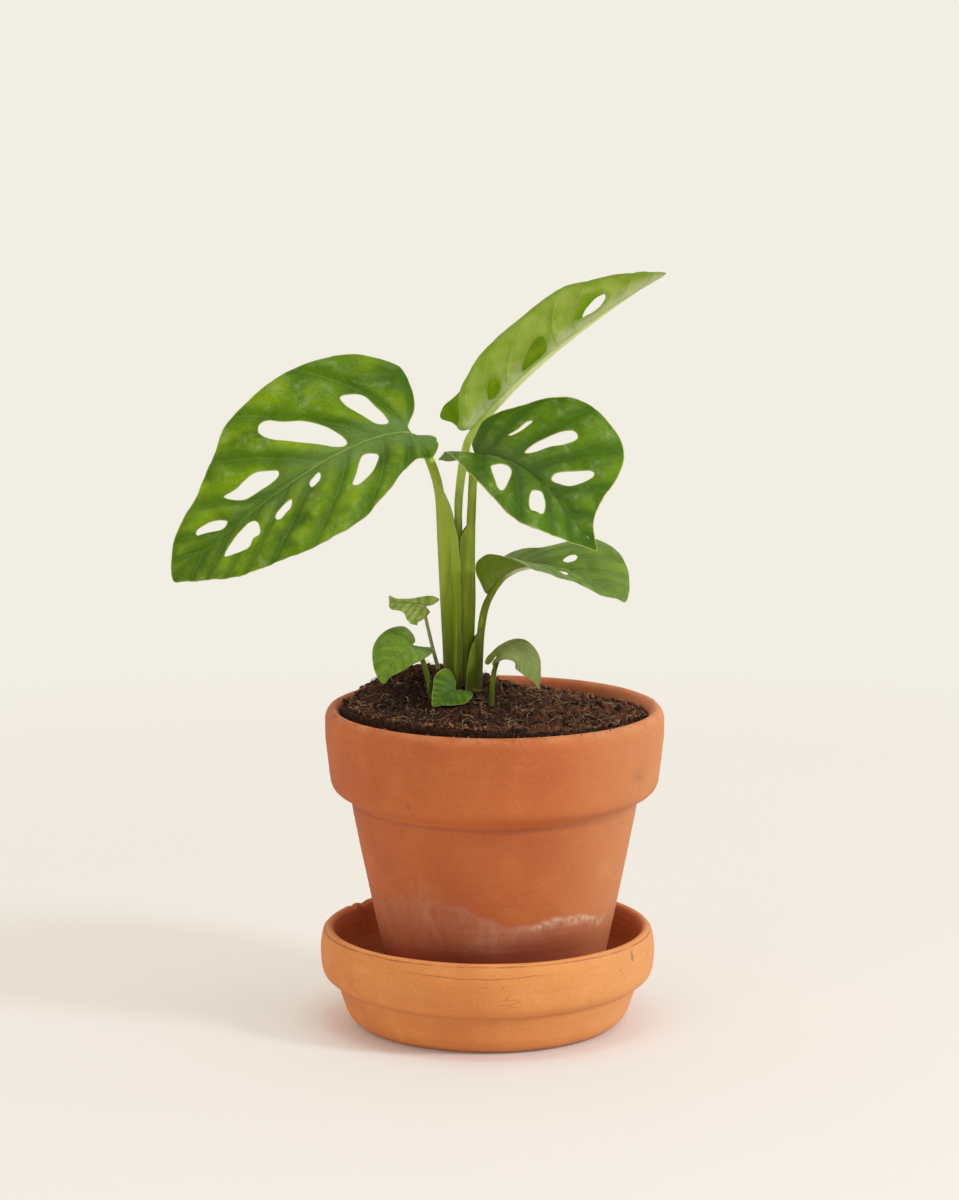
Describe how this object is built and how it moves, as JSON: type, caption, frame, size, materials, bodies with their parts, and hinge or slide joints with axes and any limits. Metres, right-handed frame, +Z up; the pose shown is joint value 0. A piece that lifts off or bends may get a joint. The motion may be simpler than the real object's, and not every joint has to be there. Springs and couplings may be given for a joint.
{
  "type": "potted monstera adansonii",
  "caption": "Young monstera adansonii with holed leaves and seedling shoots, growing in a rimmed terracotta pot on a terracotta saucer.",
  "frame": {"origin": "centre of the saucer's flat underside", "axes": "+Z up, -Y towards the side seen in the picture, +X to its right"},
  "size_m": [0.186, 0.13, 0.2901],
  "materials": {
    "saucer_clay": "matt fired clay, lighter and yellower than the pot",
    "pot_clay": "matt fired clay with a pale mineral bloom and a damp foot",
    "soil": "crumbly dark potting mix with pale fibres",
    "stem": "satin plant stalk",
    "stem_light": "satin young plant stalk",
    "leaf": "soft waxy leaf with a satin shine",
    "leaf_young": "pale young leaf, its underside towards the front"
  },
  "bodies": {
    "root": {"saucer": "saucer_clay", "pot": "pot_clay", "soil": "soil", "crown": "stem", "petiole_left": "stem", "petiole_top": "stem_light", "petiole_right": "stem", "petiole_low": "stem", "leaf_left": "leaf", "leaf_top": "leaf_young", "leaf_right": "leaf", "leaf_low": "leaf", "stalk_left": "stem", "shoot_left": "leaf", "stalk_bent": "stem", "shoot_bent": "leaf", "stalk_front": "stem", "shoot_front": "leaf", "stalk_right": "stem", "shoot_right": "leaf"}
  },
  "joints": []
}
